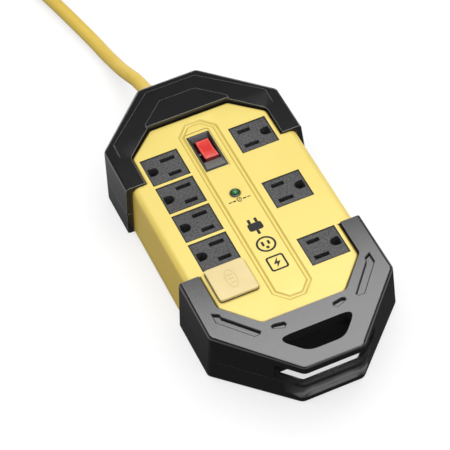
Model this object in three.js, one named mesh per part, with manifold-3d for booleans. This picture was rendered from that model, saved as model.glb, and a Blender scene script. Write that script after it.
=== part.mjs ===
// Eight-outlet safety power strip: a yellow two-part housing in black end bumpers, one of which is a
// carrying handle. Millimetres. +X right, +Y towards the cord, +Z up; the origin is on the floor under
// the middle of the strip.
import * as THREE from 'three';
import { mergeVertices } from 'three/addons/utils/BufferGeometryUtils.js';
import Module from 'manifold-3d';

const wasm = await Module();
wasm.setup();

// ---- Driving dimensions -------------------------------------------------------------------------

const GAP = 0.3; // running gap between neighbouring pieces

// Heights above the floor
const BASE_Z = 1.5; // underside of the housing
const SPLIT_Z = 5; // seam between base shell and top cover
const GROOVE_Z = 17.35; // seam between the lower and upper half of each bumper
const SHOULDER_Z = 35.5; // housing top under the bumpers
const DECK_Z = 38; // yellow deck
const RIM_Z = 39.4; // top of the bumper arms and of the handle
const STEP = 1; // height of each terrace on the cord-end bumper
const TERRACE_RUN = 12; // over which a terrace dies away

// Plan outline at rim height. Walls flare out sideways and tuck in endways towards the floor.
const HALF_LENGTH = 125;
const HALF_WIDTH = 59.2;
const CORD_CHAMFER_Y = 85.4;
const CORD_END_X = 20.4;
const HANDLE_CHAMFER_Y = -80.2;
const HANDLE_END_X = 18.9;
const CORNER = 5;
const FLARE = 0.05;
const TUCK = 0.044;

// Bumpers
const BUMPER_WALL = 3.8;
const BUMPER_EDGE = 2; // rounding of the top and bottom edges
const CORD_ARM_Y = 48.5;
const HANDLE_ARM_Y = -34.7;
const FLOOR_LIP = 10; // width of the lip that the housing stands on
const WINDOW_X = 46.3; // inner edge of the bumpers' top plates
const WINDOW_END_X = 27;
const WINDOW_CORD_Y = 90.2;
const WINDOW_CORD_CHAMFER_Y = 72;
const WINDOW_HANDLE_Y = -83.5;
const WINDOW_HANDLE_CHAMFER_Y = -61.5;
const WINDOW_CORNER = 4;

// Carrying handle
const HAND_WALL_Y = -97; // inner wall behind the fingers
const HAND_HOLE = { back: -98.2, front: -114.5, backX: 26, frontX: 11.5, backR: 4.2, frontR: 12 };
const HAND_FRONT_WALL = 5.2;
const GRIP_Z = 32.5; // underside of the grip bar
const SLIT = { x: 31.5, flatX: 29.3, endZ: 29.5 }; // half-widths, and where its lower edge runs out
const FRONT_RIM_Z = 24.2; // top of the front wall under the slit
const SCOOP = [[4, -0.5], [5.5, 0], [6.8, 1.4], [9.5, 2.8], [15, 3.4], [20, 2.6], [25.2, 0.1]]; // height, depth
const SCOOP_FADE = { from: 13, to: 30.5 }; // the scoop runs out between these half-widths
// Height and depth behind the front of the inner side of the front wall, which thins to its rim
const RIM_RELIEF = [[18.5, HAND_FRONT_WALL + 0.4], [FRONT_RIM_Z, 1.9], [RIM_Z, 1.9]];
const SCOOP_MARK = { x: -3, z: 16.8, r: 4.25, width: 0.6, depth: 0.7 };
const RECESS_DEPTH = 1.6;

// Housing
const WALL = 2.5;
const HOUSING_END_Y = -93;
const DECK_ROUND = 4.5; // rounding of the long deck edges
const PLATEAU_ROUND = 2.2; // rounding where the deck drops to the bumpers
const BASE_THICK = 3;
const PANEL = { x: 11.4, endX: 4.5, cordY: 82, handleY: -72.8, chamfer: 7.6 }; // centre line of its channel
const CHANNEL = { halfWidth: 1.9, slope: 1.2, depth: 0.7 };

// Outlets: slots on 12.7 mm centres, ground hole 11.9 mm beside them
const OUTLET_X = 30;
const OUTLET_GAP = 0.45; // round each outlet in its window
const OUTLET_W = 24.1;
const OUTLET_H = 22.4;
const OUTLET_DEEP = 19.7;
const OUTLET_FACE_Z = DECK_Z - 0.35;
const LEFT_OUTLETS_Y = [56, 30.6, 5.2, -20.2, -45.6];
const RIGHT_OUTLETS_Y = [56, 5.2, -45.6];
const SLOT_PITCH = 12.7;
const SLOT_X = 4; // slots sit this far from the outlet's middle
const SLOT_W = 3;
const NEUTRAL_LENGTH = 9.6;
const HOT_LENGTH = 8.2;
const GROUND_X = -7.9;
const GROUND_R = 3.3;
const SOCKET_DEPTH = 16.5;

// Child-safety cap
const CAP = { halfWidth: 12.5, below: 12.9, above: 12.6, corner: 2, thick: 2, edge: 0.5 };
const PRONG = { halfLength: 3.2, halfThick: 0.9, depth: 12 };

// Rocker switch
const SWITCH = { x: -1.2, y: 56.75, w: 14.6, l: 31.5, deep: 22 };
const WELL = { x0: -5.6, x1: 4.8, y0: 47.2, y1: 69.2 };
const ROCKER = { x: -0.4, y: 58.9, w: 8.8, r: 9.6, pivotZ: DECK_Z - 4.2, tilt: 7 };
const SWITCH_FRAME = { side: 8.4, bottom: 38.6, top: 75.2, depth: 0.35 };
const BEZEL = { rim: 0.8, slope: 3.6 }; // width of the flat rim, and depth of the sloping walls
const PIN_R = 1;

// Indicator
const LAMP_Y = 16.7;
const LAMP_R = 2.4;

// Cord: 9 mm heavy-duty, about 3.66 m (12 ft) from the bumper to the plug
const CORD_R = 4.5;
const EXIT_X = -9;
const BOOT = { length: 20.5, rootR: 8, tipR: 5.1, flangeR: 9, neckR: 6.3 };
const LEAD_ROUTE = [
  [-9, 142.8, 17.35], [-9.3, 149, 17.0], [-10.2, 156, 15.9], [-12, 164, 13.7], [-13.4, 172, 11.0],
  [-14.6, 180, 8.4], [-15.9, 188, 6.3], [-17.3, 196, 5.0], [-19, 205, 4.6], [-21, 215, 4.6],
  [-25.2, 235, 4.6], [-29.6, 256, 4.6], [-34, 277, 4.6], [-38.2, 297, 4.7], [-42.3, 316, 5.3], [-44.3, 325.5, 5.8],
];
const COIL = { x: 24, y: 339.6, outer: 69.75, inner: 39.75, floor: 1.3, layers: 3 };
const TIE = { angle: -30, width: 12, thick: 0.9 };
const PLUG = { backX: 0.3, y: 52, halfHeight: 13, length: 36, boot: 24 };
const BLADE = { long: 17.5, wide: 6.35, thick: 1.5, up: 3 };
const GROUND_PIN = { long: 20.5, r: 2.4, below: 11.9 };
// From the top of the coil to the plug's boot, about the coil's middle
const TAIL_ROUTE = [
  [-34, -30, 33.4], [-46, -20, 33.8], [-56, -6, 34.8], [-61, 9, 36.3],
  [-59, 25, 38.2], [-51, 39, 40.2], [-39, 48.5, 41.4], [-25.5, 52, 41.6],
];

// ---- Geometry helpers ---------------------------------------------------------------------------

// A closed three.js geometry as a manifold solid, for joining and cutting
function solid(geometry) {
  const bare = geometry.clone();
  bare.deleteAttribute('normal');
  bare.deleteAttribute('uv');
  const merged = mergeVertices(bare, 1e-4);
  const vertProperties = Float32Array.from(merged.attributes.position.array);
  const triVerts = Uint32Array.from(merged.index.array);
  return new wasm.Manifold(new wasm.Mesh({ numProp: 3, vertProperties, triVerts }));
}

function geometryOf(body) {
  const mesh = body.getMesh();
  const geometry = new THREE.BufferGeometry();
  geometry.setAttribute('position', new THREE.BufferAttribute(Float32Array.from(mesh.vertProperties), 3));
  geometry.setIndex(new THREE.BufferAttribute(Uint32Array.from(mesh.triVerts), 1));
  geometry.computeVertexNormals();
  return geometry;
}

function joined(bodies) {
  return bodies.reduce((whole, body) => whole.add(body));
}

// How far the walls have moved out (x) or in (y) at a height
const flareAt = (z) => 1 + FLARE * (1 - z / RIM_Z);
const tuckAt = (z) => 1 - TUCK * (1 - z / RIM_Z);

function tapered(geometry) {
  const position = geometry.attributes.position;
  for (let i = 0; i < position.count; i += 1) {
    const z = position.getZ(i);
    position.setX(i, position.getX(i) * flareAt(z));
    position.setY(i, position.getY(i) * tuckAt(z));
  }
  return geometry;
}

// A convex outline, anticlockwise, moved inwards by a distance
function inset(points, distance) {
  return points.map((point, i) => {
    const before = points[(i + points.length - 1) % points.length];
    const after = points[(i + 1) % points.length];
    const a = new THREE.Vector2(point[0] - before[0], point[1] - before[1]).normalize();
    const b = new THREE.Vector2(after[0] - point[0], after[1] - point[1]).normalize();
    const bisector = new THREE.Vector2(-a.y - b.y, a.x + b.x).normalize();
    const reach = distance / bisector.dot(new THREE.Vector2(-a.y, a.x));
    return [point[0] + bisector.x * reach, point[1] + bisector.y * reach];
  });
}

// A polygon with its corners rounded off, by one radius or by one for each corner
function outline(points, radius = 0) {
  const shape = new THREE.Shape();
  points.forEach((point, i) => {
    const corner = new THREE.Vector2(...point);
    const before = new THREE.Vector2(...points[(i + points.length - 1) % points.length]);
    const after = new THREE.Vector2(...points[(i + 1) % points.length]);
    const a = corner.clone().sub(before).normalize();
    const b = after.clone().sub(corner).normalize();
    const round = Array.isArray(radius) ? radius[i] : radius;
    const trim = round * Math.tan(Math.acos(THREE.MathUtils.clamp(a.dot(b), -1, 1)) / 2);
    const start = corner.clone().addScaledVector(a, -trim);
    const end = corner.clone().addScaledVector(b, trim);
    if (i === 0) shape.moveTo(start.x, start.y);
    else shape.lineTo(start.x, start.y);
    if (round > 0) shape.quadraticCurveTo(corner.x, corner.y, end.x, end.y);
  });
  shape.closePath();
  return shape;
}

const rectangle = (x0, x1, y0, y1) => [[x0, y0], [x1, y0], [x1, y1], [x0, y1]];

// An upright prism, with both end edges rounded by `edge`
function prism(shape, z0, z1, edge = 0, curveSegments = 3) {
  const geometry = new THREE.ExtrudeGeometry(shape, {
    depth: z1 - z0 - 2 * edge,
    bevelEnabled: edge > 0,
    bevelThickness: edge,
    bevelSize: edge,
    bevelOffset: -edge,
    bevelSegments: 3,
    curveSegments,
  });
  return geometry.translate(0, 0, z0 + edge);
}

function block(x0, x1, y0, y1, z0, z1) {
  const geometry = new THREE.BoxGeometry(x1 - x0, y1 - y0, z1 - z0);
  return solid(geometry.translate((x0 + x1) / 2, (y0 + y1) / 2, (z0 + z1) / 2));
}

function upright(x, y, radius, z0, z1, sides = 20) {
  const geometry = new THREE.CylinderGeometry(radius, radius, z1 - z0, sides);
  return solid(geometry.rotateX(Math.PI / 2).translate(x, y, (z0 + z1) / 2));
}

// A cylinder along Y
function lengthwise(x, z, radius, y0, y1, sides = 20) {
  const geometry = new THREE.CylinderGeometry(radius, radius, y1 - y0, sides);
  return solid(geometry.translate(x, (y0 + y1) / 2, z));
}

// A solid through a stack of equal-sided outlines, each at its own height
function loft(rings) {
  const sides = rings[0].points.length;
  const vertices = rings.flatMap((ring) => ring.points.map((p) => [p[0], p[1], ring.z])).flat();
  const triangles = [];
  for (let r = 0; r + 1 < rings.length; r += 1) {
    for (let i = 0; i < sides; i += 1) {
      const a = r * sides + i;
      const b = r * sides + ((i + 1) % sides);
      triangles.push(a, b, b + sides, a, b + sides, a + sides);
    }
  }
  const top = (rings.length - 1) * sides;
  for (let i = 1; i + 1 < sides; i += 1) triangles.push(0, i + 1, i, top, top + i, top + i + 1);
  const geometry = new THREE.BufferGeometry();
  geometry.setAttribute('position', new THREE.Float32BufferAttribute(vertices, 3));
  geometry.setIndex(triangles);
  return geometry;
}

// A round bar along a smooth curve through points
function tube(points, radius, steps, sides) {
  const curve = new THREE.CatmullRomCurve3(points.map((p) => new THREE.Vector3(...p)), false, 'centripetal');
  const section = new THREE.Shape();
  for (let i = 0; i < sides; i += 1) {
    const angle = (2 * Math.PI * i) / sides;
    if (i === 0) section.moveTo(radius, 0);
    else section.lineTo(radius * Math.cos(angle), radius * Math.sin(angle));
  }
  section.closePath();
  return new THREE.ExtrudeGeometry(section, { steps, extrudePath: curve });
}

// ---- Materials ----------------------------------------------------------------------------------

function finish(color, roughness, metalness = 0) {
  return new THREE.MeshStandardMaterial({ color, roughness, metalness });
}

const yellow = finish(0xf2cf3c, 0.45);
const bumperBlack = finish(0x1c1d1f, 0.5);
const outletGrey = finish(0x47464a, 0.6);
const switchBlack = finish(0x18181a, 0.4);
const rockerRed = finish(0xc81e14, 0.2);
const capPeach = finish(0xeccf8f, 0.45);
const lampGreen = finish(0x1c7a34, 0.15);
const steel = finish(0xb4b6b8, 0.35, 0.9);
const brass = finish(0xc9a24c, 0.35, 0.9);
const boardGreen = finish(0x2c6b3d, 0.6);
const discBlue = finish(0x2f5fa8, 0.5);
const cordYellow = finish(0xe6c040, 0.5);
const leadWhite = finish(0xe4e4de, 0.5);
const leadGreen = finish(0x2f8a46, 0.5);

const group = new THREE.Group();

function add(name, body, material) {
  const geometry = body instanceof wasm.Manifold ? geometryOf(body) : body;
  const mesh = new THREE.Mesh(geometry, material);
  mesh.name = name;
  group.add(mesh);
  return mesh;
}

// ---- Shared outlines ----------------------------------------------------------------------------

const OCTAGON = [
  [-HANDLE_END_X, -HALF_LENGTH], [HANDLE_END_X, -HALF_LENGTH],
  [HALF_WIDTH, HANDLE_CHAMFER_Y], [HALF_WIDTH, CORD_CHAMFER_Y],
  [CORD_END_X, HALF_LENGTH], [-CORD_END_X, HALF_LENGTH],
  [-HALF_WIDTH, CORD_CHAMFER_Y], [-HALF_WIDTH, HANDLE_CHAMFER_Y],
];
const WINDOW = [
  [-WINDOW_END_X, WINDOW_HANDLE_Y], [WINDOW_END_X, WINDOW_HANDLE_Y],
  [WINDOW_X, WINDOW_HANDLE_CHAMFER_Y], [WINDOW_X, WINDOW_CORD_CHAMFER_Y],
  [WINDOW_END_X, WINDOW_CORD_Y], [-WINDOW_END_X, WINDOW_CORD_Y],
  [-WINDOW_X, WINDOW_CORD_CHAMFER_Y], [-WINDOW_X, WINDOW_HANDLE_CHAMFER_Y],
];
const FAR = 200; // past every piece
const cordSide = block(-FAR, FAR, CORD_ARM_Y, FAR, -FAR, FAR);
const handleSide = block(-FAR, FAR, -FAR, HANDLE_ARM_Y, -FAR, FAR);
const aboveGroove = block(-FAR, FAR, -FAR, FAR, GROOVE_Z + GAP / 2, FAR);
const belowGroove = block(-FAR, FAR, -FAR, FAR, -FAR, GROOVE_Z - GAP / 2);

// The housing's outer form between two heights, grown by `grow`, ending at the hand wall
function housingForm(grow, z0, z1, edge = 0) {
  const plan = outline(inset(OCTAGON, BUMPER_WALL + GAP - grow), CORNER);
  const form = solid(tapered(prism(plan, z0, z1, edge)));
  return form.subtract(block(-FAR, FAR, -FAR, HOUSING_END_Y * tuckAt(0) - grow, -FAR, FAR));
}

// ---- Screws, shared by the housing halves ---------------------------------------------------------

const SCREW_SPOTS = [-48, 48].flatMap((x) => [[x, 77], [x, -6], [x, -71]]);
const SCREW_HEAD_R = 3;
const SCREW_R = 1.4;
const SCREW_TIP_Z = 16;
const POST_R = 3.6;

// ---- Top cover ------------------------------------------------------------------------------------

const outletSpots = [
  ...LEFT_OUTLETS_Y.map((y, i) => ({ name: `outlet_left_${i + 1}`, x: -OUTLET_X, y, turn: 0 })),
  ...RIGHT_OUTLETS_Y.map((y, i) => ({ name: `outlet_right_${i + 1}`, x: OUTLET_X, y, turn: Math.PI })),
];

const exitY = HALF_LENGTH * tuckAt(GROOVE_Z); // outer face of the end wall at cord height

function panelOutline(grow) {
  const { x, endX, cordY, handleY, chamfer } = PANEL;
  const points = [
    [-endX, handleY], [endX, handleY], [x, handleY + chamfer], [x, cordY - chamfer],
    [endX, cordY], [-endX, cordY], [-x, cordY - chamfer], [-x, handleY + chamfer],
  ];
  return inset(points, -grow);
}

// A shallow channel with sloping sides round the middle panel
function panelChannel() {
  const { halfWidth, slope, depth } = CHANNEL;
  const above = 1;
  const spread = (slope * above) / depth;
  const side = (sign) => solid(loft([
    { z: DECK_Z - depth, points: panelOutline(sign * (halfWidth - slope)) },
    { z: DECK_Z + above, points: panelOutline(sign * (halfWidth + spread)) },
  ]));
  return side(1).subtract(side(-1));
}

// A slight recess that frames the switch
function switchRecess() {
  const { side, top, bottom, depth } = SWITCH_FRAME;
  const frame = rectangle(SWITCH.x - side, SWITCH.x + side, bottom, top);
  return solid(prism(outline(frame, 2.4), DECK_Z - depth, DECK_Z + 5));
}

function topCover() {
  const plateauOutline = outline(inset(WINDOW, GAP), WINDOW_CORNER);
  const plateau = solid(prism(plateauOutline, DECK_Z - 12, DECK_Z, PLATEAU_ROUND));
  const ends = joined([
    block(-FAR, FAR, CORD_ARM_Y - GAP, FAR, SHOULDER_Z, FAR),
    block(-FAR, FAR, -FAR, HANDLE_ARM_Y + GAP, SHOULDER_Z, FAR),
  ]).subtract(plateau);
  const hollow = solid(tapered(prism(outline(inset(OCTAGON, BUMPER_WALL + GAP + WALL), CORNER - 1), -1,
    SHOULDER_Z - WALL))).subtract(block(-FAR, FAR, -FAR, HOUSING_END_Y * tuckAt(0) + WALL, -FAR, FAR));
  const deckHollow = solid(prism(outline(inset(WINDOW, WALL), 2), SHOULDER_Z - WALL - 1, DECK_Z - WALL));
  const posts = SCREW_SPOTS.map(([x, y]) => upright(x, y, POST_R, SPLIT_Z + GAP / 2, SHOULDER_Z - 1, 16));
  const bores = SCREW_SPOTS.map(([x, y]) => upright(x, y, SCREW_R + GAP, 0, SCREW_TIP_Z + 1, 12));
  const windows = outletSpots.map(({ x, y }) => block(
    x - OUTLET_W / 2 - OUTLET_GAP, x + OUTLET_W / 2 + OUTLET_GAP,
    y - OUTLET_H / 2 - OUTLET_GAP, y + OUTLET_H / 2 + OUTLET_GAP, 20, FAR));
  const switchHole = block(SWITCH.x - SWITCH.w / 2 - GAP, SWITCH.x + SWITCH.w / 2 + GAP,
    SWITCH.y - SWITCH.l / 2 - GAP, SWITCH.y + SWITCH.l / 2 + GAP, 20, FAR);
  return housingForm(0, 0, DECK_Z, DECK_ROUND)
    .subtract(block(-FAR, FAR, -FAR, FAR, -FAR, SPLIT_Z + GAP / 2))
    .subtract(ends)
    .subtract(hollow)
    .subtract(deckHollow)
    .add(joined(posts))
    .subtract(joined(bores))
    .subtract(joined(windows))
    .subtract(switchHole)
    .subtract(panelChannel())
    .subtract(switchRecess())
    .subtract(upright(0, LAMP_Y, LAMP_R + GAP, 20, FAR))
    .subtract(lengthwise(EXIT_X, GROOVE_Z, 6.6, exitY - 15, exitY + 5));
}

add('top_cover', topCover(), yellow);

// ---- Base shell -----------------------------------------------------------------------------------

const KEYHOLES_Y = [62, -58];

function keyhole(y) {
  const mouth = upright(0, y, 4.2, -FAR, FAR);
  const neck = upright(0, y + 9, 2.2, -FAR, FAR, 12);
  return joined([mouth, neck, block(-2.2, 2.2, y, y + 9, -FAR, FAR)]);
}

function baseShell() {
  const top = BASE_Z + BASE_THICK;
  const plate = housingForm(0, BASE_Z - 4, SPLIT_Z + 4, 0)
    .subtract(block(-FAR, FAR, -FAR, FAR, SPLIT_Z - GAP / 2, FAR))
    .subtract(block(-FAR, FAR, -FAR, FAR, -FAR, BASE_Z));
  const tray = solid(tapered(prism(outline(inset(OCTAGON, BUMPER_WALL + GAP + WALL), CORNER - 1), top, 10)))
    .subtract(block(-FAR, FAR, -FAR, HOUSING_END_Y * tuckAt(0) + WALL, -FAR, FAR));
  const sinks = SCREW_SPOTS.map(([x, y]) => upright(x, y, SCREW_HEAD_R + 0.4, 0, BASE_Z + 1.7, 16));
  const holes = SCREW_SPOTS.map(([x, y]) => upright(x, y, SCREW_R + GAP, 0, FAR, 12));
  return plate.subtract(tray).subtract(joined(sinks)).subtract(joined(holes))
    .subtract(joined(KEYHOLES_Y.map(keyhole)));
}

add('base_shell', baseShell(), yellow);

SCREW_SPOTS.forEach(([x, y], i) => {
  const headTop = BASE_Z + 1.4;
  const profile = [[0, BASE_Z + 0.2], [SCREW_HEAD_R, BASE_Z + 0.2], [SCREW_HEAD_R, headTop],
    [SCREW_R, headTop], [SCREW_R, SCREW_TIP_Z - 1.5], [0, SCREW_TIP_Z]];
  const screw = new THREE.LatheGeometry(profile.map((p) => new THREE.Vector2(...p)), 12);
  add(`case_screw_${i + 1}`, screw.rotateX(Math.PI / 2).translate(x, y, 0), steel);
});

// ---- Bumpers --------------------------------------------------------------------------------------

const bumperForm = solid(tapered(prism(outline(OCTAGON, CORNER), 0, RIM_Z, BUMPER_EDGE)));
const housingSpace = housingForm(GAP, BASE_Z - GAP, SHOULDER_Z + GAP);
const windowCut = solid(prism(outline(WINDOW, WINDOW_CORNER), SHOULDER_Z - 2, FAR));
const floorOpening = solid(prism(outline(inset(OCTAGON, BUMPER_WALL + FLOOR_LIP), 3), -FAR, BASE_Z + 1))
  .subtract(block(-FAR, FAR, -FAR, HOUSING_END_Y + FLOOR_LIP, -FAR, FAR));
const cordNotch = lengthwise(EXIT_X, GROOVE_Z, 6.7, exitY - 15, exitY + 8);
const sleeve = bumperForm.subtract(housingSpace).subtract(windowCut).subtract(floorOpening);

// Two terraces step up from the arms to the window at the cord end; each dies away down the arms
function terraces() {
  const terrace = (x, armY, chamferY, endX, endY, top) => {
    const plan = (y) => [[-x, y], [x, y], [x, chamferY], [endX, endY], [-endX, endY], [-x, chamferY]];
    return solid(loft([
      { z: SHOULDER_Z + GAP, points: plan(armY - TERRACE_RUN) },
      { z: top - STEP - 0.2, points: plan(armY - TERRACE_RUN) },
      { z: top, points: plan(armY) },
    ]));
  };
  return joined([
    terrace(52, 84, 86.5, 17, 119, RIM_Z + STEP),
    terrace(28, 88, 92.5, 12, 107.6, RIM_Z + 2 * STEP),
  ]).subtract(windowCut);
}

const cordEnd = sleeve.intersect(cordSide).add(terraces()).subtract(cordNotch);
add('cord_end_bumper_upper', cordEnd.intersect(aboveGroove), bumperBlack);
add('cord_end_bumper_lower', cordEnd.intersect(belowGroove), bumperBlack);

function handHole() {
  const { back, front, backX, frontX, backR, frontR } = HAND_HOLE;
  const points = [[-frontX, front], [frontX, front], [backX, back], [-backX, back]];
  return solid(prism(outline(points, [frontR, frontR, backR, backR]), GRIP_Z - 5, FAR, 0, 6));
}

// The space for the fingers, open to the floor
function handCavity() {
  const inside = solid(tapered(prism(outline(inset(OCTAGON, HAND_FRONT_WALL), 3), -1, GRIP_Z)));
  const behind = solid(tapered(prism(outline(rectangle(-90, 90, HAND_WALL_Y, 90)), -2, RIM_Z)));
  return inside.subtract(behind);
}

// Everything behind a surface that follows the handle's front, set back by depthAt(x, z)
function behindFront(heights, depthAt) {
  const chamfer = (HANDLE_CHAMFER_Y + HALF_LENGTH) / (HALF_WIDTH - HANDLE_END_X);
  const reach = SLIT.x + 4;
  const steps = 24;
  const back = -60;
  const rings = heights.map((z) => {
    const line = Array.from({ length: steps + 1 }, (_, i) => {
      const x = reach * ((2 * i) / steps - 1);
      const front = -HALF_LENGTH + Math.max(0, Math.abs(x) - HANDLE_END_X) * chamfer;
      return [x, front + depthAt(x, z)];
    });
    return { z, points: [[-reach, back], ...line, [reach, back]] };
  });
  return solid(tapered(loft(rings)));
}

// Value at a height in a list of [height, value] pairs
function along(pairs, z) {
  const next = pairs.findIndex(([height]) => height >= z);
  if (next === 0) return pairs[0][1];
  const [z0, v0] = pairs[next - 1];
  const [z1, v1] = pairs[next];
  return v0 + ((v1 - v0) * (z - z0)) / (z1 - z0);
}

// The hollow for the fingertips in the front wall, deepest in the middle
function scoopCut() {
  const clear = -0.5; // stands this far out of the wall where there is no scoop
  const depthAt = (x, z) => {
    const fade = THREE.MathUtils.smoothstep(Math.abs(x), SCOOP_FADE.from, SCOOP_FADE.to);
    return THREE.MathUtils.lerp(along(SCOOP, z), clear, fade);
  };
  const heights = SCOOP.map(([z]) => z);
  return block(-SLIT.x, SLIT.x, -FAR, -100, heights[0] + 0.5, heights[heights.length - 1] - 0.5)
    .subtract(behindFront(heights, depthAt));
}

// A round ejector mark in the middle of the scoop
function scoopMark() {
  const { x, z, r, width, depth } = SCOOP_MARK;
  const bottomY = -HALF_LENGTH * tuckAt(z) + along(SCOOP, z) + depth;
  return lengthwise(x, z, r, -FAR, bottomY, 24).subtract(lengthwise(x, z, r - width, -FAR, 0, 24));
}

// Thins the front wall towards its rim from behind
function rimRelief() {
  const heights = RIM_RELIEF.map(([z]) => z);
  return behindFront(heights, (x, z) => along(RIM_RELIEF, z))
    .intersect(block(2 - SLIT.x, SLIT.x - 2, -FAR, -95, 0, RIM_Z - 1));
}

// The part of the front wall that the lower half carries up into the upper half, under the slit
function frontPanel() {
  const panel = new THREE.Shape();
  panel.moveTo(-SLIT.x, GROOVE_Z - 1);
  panel.lineTo(SLIT.x, GROOVE_Z - 1);
  panel.lineTo(SLIT.x, SLIT.endZ);
  panel.lineTo(SLIT.flatX, FRONT_RIM_Z);
  panel.lineTo(-SLIT.flatX, FRONT_RIM_Z);
  panel.lineTo(-SLIT.x, SLIT.endZ);
  panel.closePath();
  const prismatic = new THREE.ExtrudeGeometry(panel, { depth: 40, bevelEnabled: false });
  return solid(prismatic.rotateX(Math.PI / 2).translate(0, -100, 0));
}

// Shallow recesses in the handle's top, mirrored left to right
function topRecesses() {
  const long = [
    [-51.5, -63.5], [-51.5, -71.5], [-35.4, -91], [-31.6, -91], [-30, -89], [-46.5, -69], [-46.8, -66.5],
  ];
  const small = [[-24, -90.2], [-17, -93.2], [-14.6, -90.8], [-15.4, -88.4], [-21.6, -87.2], [-24, -88]];
  const mirrored = (points) => points.map(([x, y]) => [-x, y]).reverse();
  const cuts = [long, mirrored(long), small, mirrored(small)].map((points) => (
    solid(prism(outline(points, 0.6), RIM_Z - RECESS_DEPTH, FAR))));
  return joined(cuts);
}

const panelNotch = block(-SLIT.x - GAP, SLIT.x + GAP, -FAR, HAND_WALL_Y - 3, GROOVE_Z - 1, GRIP_Z);
const handleEnd = sleeve.intersect(handleSide).subtract(handHole()).subtract(handCavity());
const handleUpper = handleEnd.intersect(aboveGroove).subtract(panelNotch).subtract(topRecesses());
const handleLower = handleEnd.intersect(belowGroove.add(frontPanel()))
  .subtract(scoopCut())
  .subtract(scoopMark())
  .subtract(rimRelief());
add('handle_bumper_upper', handleUpper, bumperBlack);
add('handle_bumper_lower', handleLower, bumperBlack);

// ---- Outlets --------------------------------------------------------------------------------------

// One receptacle about its own middle: two blade slots on the right, the ground hole on the left
function outlet() {
  const top = OUTLET_FACE_Z;
  const bottom = top - OUTLET_DEEP;
  const floor = top - SOCKET_DEPTH;
  const body = block(-OUTLET_W / 2, OUTLET_W / 2, -OUTLET_H / 2, OUTLET_H / 2, bottom, top);
  const flange = block(-OUTLET_W / 2 - 0.9, OUTLET_W / 2 + 0.9, -OUTLET_H / 2 - 0.9, OUTLET_H / 2 + 0.9,
    DECK_Z - WALL - 2.3, DECK_Z - WALL - GAP);
  const slot = (length, y) => block(
    SLOT_X - length / 2, SLOT_X + length / 2, y - SLOT_W / 2, y + SLOT_W / 2, floor, FAR);
  const ground = upright(GROUND_X, 0, GROUND_R, floor, FAR, 16)
    .add(block(GROUND_X - 2.9, GROUND_X, -GROUND_R, GROUND_R, floor, FAR));
  return body.add(flange)
    .subtract(slot(NEUTRAL_LENGTH, SLOT_PITCH / 2))
    .subtract(slot(HOT_LENGTH, -SLOT_PITCH / 2))
    .subtract(ground);
}

const outletGeometry = geometryOf(outlet());
outletSpots.forEach(({ name, x, y, turn }) => {
  const mesh = add(name, outletGeometry.clone(), outletGrey);
  mesh.position.set(x, y, 0);
  mesh.rotation.z = turn;
});

// The child-safety cap in the last outlet of the left column: a plate with two blank prongs
function safetyCover() {
  const x = -OUTLET_X;
  const y = LEFT_OUTLETS_Y[LEFT_OUTLETS_Y.length - 1];
  const { halfWidth, below, above, corner, thick, edge } = CAP;
  const { halfLength, halfThick, depth } = PRONG;
  const plate = outline(rectangle(x - halfWidth, x + halfWidth, y - below, y + above), corner);
  const prong = (dy) => block(x + SLOT_X - halfLength, x + SLOT_X + halfLength, y + dy - halfThick,
    y + dy + halfThick, DECK_Z - depth, DECK_Z + 1);
  return solid(prism(plate, DECK_Z + GAP, DECK_Z + GAP + thick, edge))
    .add(prong(SLOT_PITCH / 2))
    .add(prong(-SLOT_PITCH / 2));
}

add('safety_cover', safetyCover(), capPeach);

// ---- Bus bars -------------------------------------------------------------------------------------

const BUS_Z = OUTLET_FACE_Z - OUTLET_DEEP - 1.4;
[['left', -1, LEFT_OUTLETS_Y], ['right', 1, RIGHT_OUTLETS_Y]].forEach(([side, sign, rows]) => {
  const y0 = rows[rows.length - 1] - 9;
  const y1 = rows[0] + 9;
  const bars = [['neutral', 23.6, brass], ['hot', 29.2, brass], ['ground', 37.9, steel]];
  bars.forEach(([name, x, metal]) => {
    const width = 4;
    const lower = Math.min(sign * x - width / 2, sign * x + width / 2);
    add(`${name}_bus_${side}`, block(lower, lower + width, y0, y1, BUS_Z, BUS_Z + 1), metal);
  });
});

// ---- Rocker switch --------------------------------------------------------------------------------

// Its walls slope down from a thin rim to the opening that the rocker sits in
function switchBezel() {
  const x0 = SWITCH.x - SWITCH.w / 2;
  const x1 = SWITCH.x + SWITCH.w / 2;
  const y0 = SWITCH.y - SWITCH.l / 2;
  const y1 = SWITCH.y + SWITCH.l / 2;
  const top = DECK_Z - 0.3;
  const { rim, slope } = BEZEL;
  const mouth = rectangle(x0 + rim, x1 - rim, y0 + rim, y1 - rim);
  const well = rectangle(WELL.x0, WELL.x1, WELL.y0, WELL.y1);
  const funnel = loft([
    { z: DECK_Z - 14, points: well },
    { z: top - slope, points: well },
    { z: top, points: mouth },
    { z: top + 1, points: mouth },
  ]);
  const pinHole = new THREE.CylinderGeometry(PIN_R + GAP, PIN_R + GAP, SWITCH.w - 3, 12);
  pinHole.rotateZ(Math.PI / 2).translate(SWITCH.x, ROCKER.y, ROCKER.pivotZ);
  return block(x0, x1, y0, y1, DECK_Z - SWITCH.deep, top).subtract(solid(funnel)).subtract(solid(pinHole));
}

add('switch_bezel', switchBezel(), switchBlack);

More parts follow.
